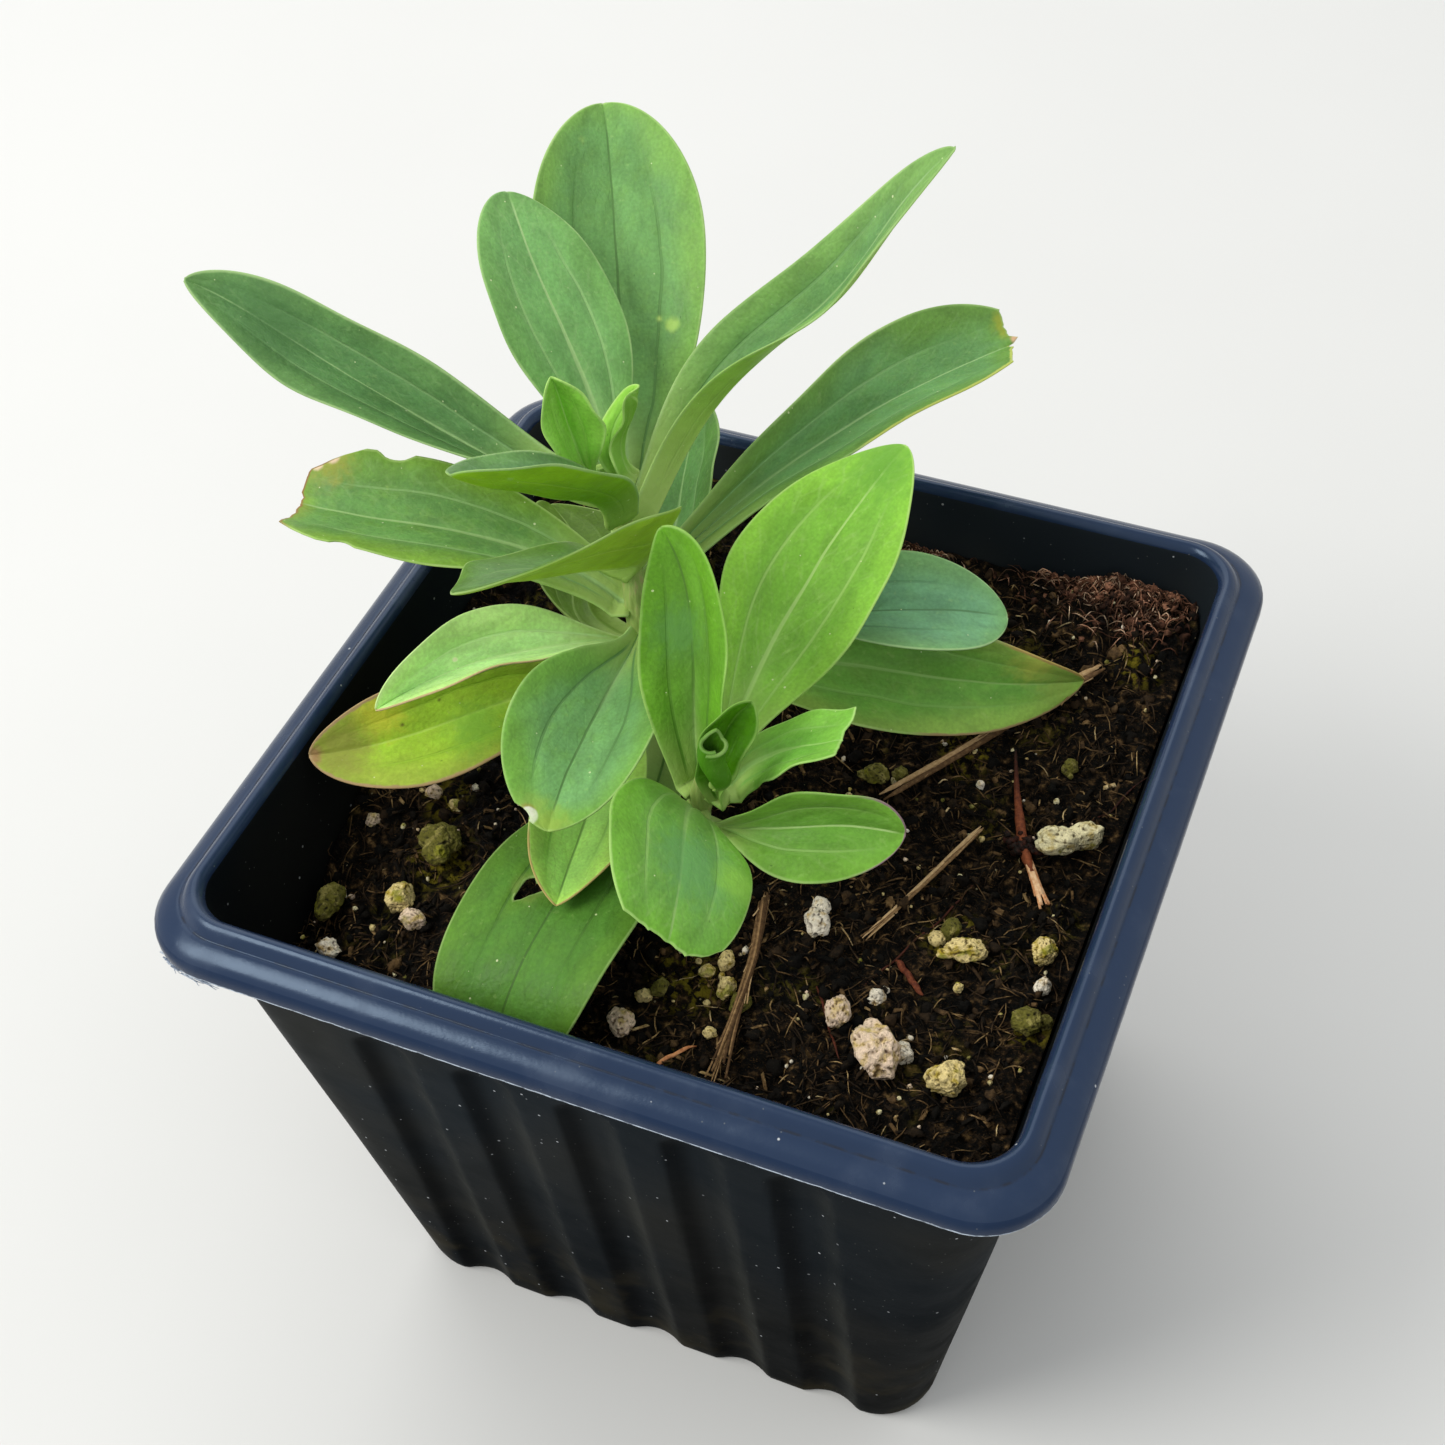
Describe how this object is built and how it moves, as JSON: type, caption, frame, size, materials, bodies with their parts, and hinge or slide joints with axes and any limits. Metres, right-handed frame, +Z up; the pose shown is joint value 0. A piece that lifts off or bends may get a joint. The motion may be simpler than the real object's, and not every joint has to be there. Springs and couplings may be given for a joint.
{
  "type": "potted soapwort",
  "caption": "Young leafy soapwort in a square plastic nursery pot of peat, with lance-shaped leaves on a tall shoot and a short side shoot.",
  "frame": {"origin": "middle of the pot's underside, on the surface that it stands on", "axes": "+Z up; the front wall of the pot faces -Y; +X runs to the right along the front rim"},
  "size_m": [0.1268, 0.1142, 0.1485],
  "materials": {
    "pot_plastic": "satin, dark blue-black, dusty and lightly scratched",
    "peat": "loose, moist and fibrous",
    "stem": "smooth, fresh green",
    "leaf_mature": "smooth, blue-green with a pale margin",
    "leaf_young": "smooth, bright yellow-green",
    "leaf_ageing": "yellowing, with a brown edge",
    "pumice": "rough and pitted",
    "mossy_grit": "rough, with a film of algae",
    "dry_straw": "dry and split"
  },
  "bodies": {
    "root": {"pot": "pot_plastic", "soil": "peat", "stem_main": "stem", "stem_side": "stem", "leaf_back_tall": "leaf_mature", "leaf_upper_left": "leaf_mature", "leaf_long_left": "leaf_mature", "leaf_bitten_left": "leaf_mature", "leaf_far_right": "leaf_mature", "leaf_right_nibbled": "leaf_mature", "leaf_arched_upper": "leaf_mature", "leaf_arched_middle": "leaf_mature", "leaf_behind_right": "leaf_mature", "leaf_low_back": "leaf_mature", "leaf_front_left": "leaf_mature", "leaf_front_broad": "leaf_mature", "leaf_front_under": "leaf_mature", "leaf_bottom": "leaf_mature", "leaf_right_blue": "leaf_mature", "leaf_right_low": "leaf_mature", "side_leaf_front": "leaf_mature", "side_leaf_right": "leaf_mature", "leaf_crown_left": "leaf_young", "leaf_crown_right": "leaf_young", "side_leaf_light": "leaf_young", "side_leaf_upright": "leaf_young", "side_leaf_cut": "leaf_young", "side_leaf_cup": "leaf_young", "side_leaf_rolled": "leaf_young", "leaf_yellowing": "leaf_ageing", "grain_cream_large": "pumice", "grain_cream_two_lobed": "pumice", "grain_cream_right": "pumice", "grain_white_tall": "pumice", "grain_white_front": "pumice", "grain_cream_edge": "pumice", "grain_white_left": "pumice", "grain_yellow_front": "pumice", "grain_yellow_centre": "pumice", "grain_yellow_left": "pumice", "grain_mossy_right": "mossy_grit", "grain_mossy_back": "mossy_grit", "grain_mossy_left": "mossy_grit", "grain_mossy_lump": "mossy_grit", "straw_long": "dry_straw", "straw_front": "dry_straw", "twig_orange": "dry_straw", "dead_stalk": "dry_straw"}
  },
  "joints": []
}
